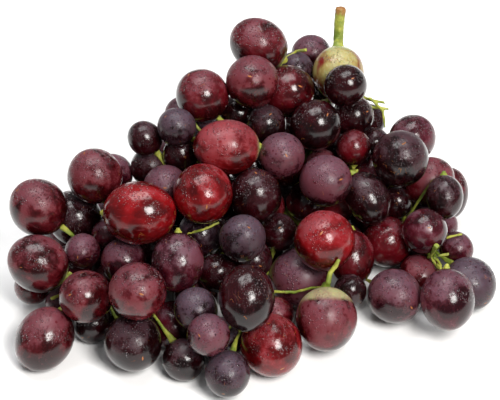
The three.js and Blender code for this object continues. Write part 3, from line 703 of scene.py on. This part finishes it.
def add_collar(work, berry, big, dice):
    """The knobbly cushion between a berry and its small stalk."""
    pole = berry.pole()
    turn = upright_to(berry.axis).to_4x4()
    collar = bmesh.new()
    for height, wide, thick in COLLAR_RINGS:
        place = Matrix.Translation(Vector(pole + berry.axis * height) * MM) @ turn
        bmesh.ops.create_cone(collar, cap_ends=True, segments=14, radius1=wide * big * MM,
                              radius2=wide * 0.82 * big * MM, depth=thick * MM, matrix=place)
    for _ in range(KNOBS):
        angle = dice.uniform(0, 2 * math.pi)
        rim = Vector((math.cos(angle) * KNOB_RING * big, math.sin(angle) * KNOB_RING * big, dice.uniform(0.1, 0.9)))
        place = Matrix.Translation((Vector(pole) + turn.to_3x3() @ rim) * MM)
        bmesh.ops.create_icosphere(collar, subdivisions=1, radius=dice.uniform(0.35, 0.6) * MM, matrix=place)
    pour(collar, work)


def rounded(work):
    """The same stalk as one closed skin with soft joints."""
    mesh = bpy.data.meshes.new("stalk_blank")
    work.to_mesh(mesh)
    work.free()
    blank = bpy.data.objects.new("stalk_blank", mesh)
    bpy.context.scene.collection.objects.link(blank)
    remesh = blank.modifiers.new("remesh", "REMESH")
    remesh.mode = "VOXEL"
    remesh.voxel_size = VOXEL * MM
    soften = blank.modifiers.new("soften", "SMOOTH")
    soften.factor = 0.5
    soften.iterations = 4
    evaluated = blank.evaluated_get(bpy.context.evaluated_depsgraph_get())
    skin_mesh = bmesh.new()
    skin_mesh.from_mesh(evaluated.to_mesh())
    evaluated.to_mesh_clear()
    bpy.data.objects.remove(blank)
    return skin_mesh


def make_stalk(berries):
    """The whole stalk, rounded, with a knobbly collar at each berry and a brown cut end."""
    work = bmesh.new()
    work.from_mesh(nodes["stalk"].data)
    bmesh.ops.remove_doubles(work, verts=work.verts, dist=1e-6)
    spots = np.array([v.co for v in work.verts]) / MM
    dice = random.Random("collars")
    for node, berry, look in berries:
        if node == "foot_berry_7":
            leaning = Vector(berry.pole())
        if node.startswith("inner") or np.min(np.linalg.norm(spots - berry.pole(), axis=1)) > STALK_AT_BERRY:
            continue
        add_collar(work, berry, 1.5 if look[1] > GREEN_SHOULDER else 1.0, dice)
    add_twig(work, [clear_of(leaning + Vector(step), berries, 1.0) for step in LEANING], 1.5, 1.05)
    work = rounded(work)
    browned = work.verts.layers.float.new("browned")
    tip = max((v.co for v in work.verts), key=lambda co: co.y * math.sin(SIGHT) + co.z * math.cos(SIGHT)).copy()
    for v in work.verts:
        spot = v.co / MM
        if abs(v.co.x - tip.x) < 0.006 and (v.co - tip).length < 0.030:
            v.co += v.normal * THICKER * MM
        knob = 0.20 * noise.noise(spot * 0.55) + 0.10 * noise.noise(spot * 1.3)
        v.co += v.normal * knob * MM
        v.co.z = max(v.co.z, TABLE_TOP)
        v[browned] = max(0.0, 1.3 - (v.co - tip).length / 0.0060)
    for face in work.faces:
        face.smooth = True
    work.normal_update()
    put_in_scene(work, "stalk_whole", [stalk_skin()], "stalk_green", "stalk")


# ---------------------------------------------------------------- dew

BEADS = 44                   # tries on each berry, of which the hidden ones are left out


def make_dew(berries):
    """Small beads of water on the upper side of the outer berries."""
    work = bmesh.new()
    dice = random.Random("dew")
    for node, berry, _ in berries:
        if node.startswith("inner"):
            continue
        beads = bmesh.new()
        close = [other for _, other, _ in berries if other is not berry
                 and np.linalg.norm(other.middle - berry.middle) < other.half_length + berry.half_length + 3]
        drift = Vector((dice.gauss(0, 0.5), dice.gauss(-0.25, 0.5), 1.0)).normalized()
        turn = upright_to(berry.axis)
        for _ in range(BEADS):
            spray = Vector((dice.gauss(0, 0.6), dice.gauss(0, 0.6), dice.gauss(0, 0.6)))
            way = (drift + 0.75 * spray).normalized()
            own = turn.transposed() @ way
            slim, wide = slimness(own.z), berry.half_width
            shape = Vector((own.x * slim * wide, own.y * slim * wide, own.z * berry.half_length))
            spot = Vector(berry.middle) + turn @ shape * 0.996
            hidden = any((Vector(other.middle) - spot).length < other.half_width + 0.9 for other in close)
            if spot.z < 2 or hidden:
                continue
            size = dice.uniform(0.26, 0.50) * (1.8 if dice.random() < 0.10 else 1.0)
            flat = Matrix.Diagonal((1, dice.uniform(0.8, 1.1), 0.55, 1))
            place = Matrix.Translation(spot * MM) @ upright_to(way).to_4x4() @ flat
            bmesh.ops.create_uvsphere(beads, u_segments=8, v_segments=5, radius=size * MM, matrix=place)
        for face in beads.faces:
            face.smooth = True
        pour(beads, work)
    put_in_scene(work, "dew", [dew_water()], None)


# ---------------------------------------------------------------- studio

HEART = (0, 0, 0.05)         # what the lights point at


def add_light(name, place, size, watts, colour):
    data = bpy.data.lights.new(name, "AREA")
    data.shape = "RECTANGLE"
    data.size, data.size_y = size
    data.energy = watts
    data.color = colour
    lamp = bpy.data.objects.new(name, data)
    lamp.location = place
    lamp.rotation_euler = (Vector(HEART) - Vector(place)).to_track_quat("-Z", "Y").to_euler()
    bpy.context.scene.collection.objects.link(lamp)


def set_studio():
    scene = bpy.context.scene
    scene.view_settings.view_transform = "Standard"
    f = Finish("pale_floor")
    cloud = f.noise(f.add("TexCoord", out="Object"), 3.0) * 0.1
    paint = f.surface({"Base Color": f.mix(cloud, (0.93, 0.93, 0.93), (0.88, 0.88, 0.88)), "Roughness": 0.8})
    work = bmesh.new()
    bmesh.ops.create_grid(work, x_segments=4, y_segments=4, size=3)
    mesh = bpy.data.meshes.new("floor")
    work.to_mesh(mesh)
    work.free()
    mesh.materials.append(paint)
    floor = bpy.data.objects.new("floor", mesh)
    scene.collection.objects.link(floor)
    world = bpy.data.worlds.new("studio")
    world.use_nodes = True
    background = world.node_tree.nodes["Background"]
    background.inputs["Color"].default_value = (0.97, 0.98, 1.0, 1)
    background.inputs["Strength"].default_value = 0.20
    scene.world = world
    add_light("front_softbox", (0.42, -0.72, 0.92), (0.44, 0.54), 20, (1.0, 0.98, 0.95))
    add_light("top_softbox", (-0.1, 0.25, 1.1), (0.9, 0.6), 12, (1.0, 1.0, 1.0))


set_camera()
set_studio()
berries = make_berries()
make_deep_berries(berries)
make_stalk(berries)
make_dew(berries)
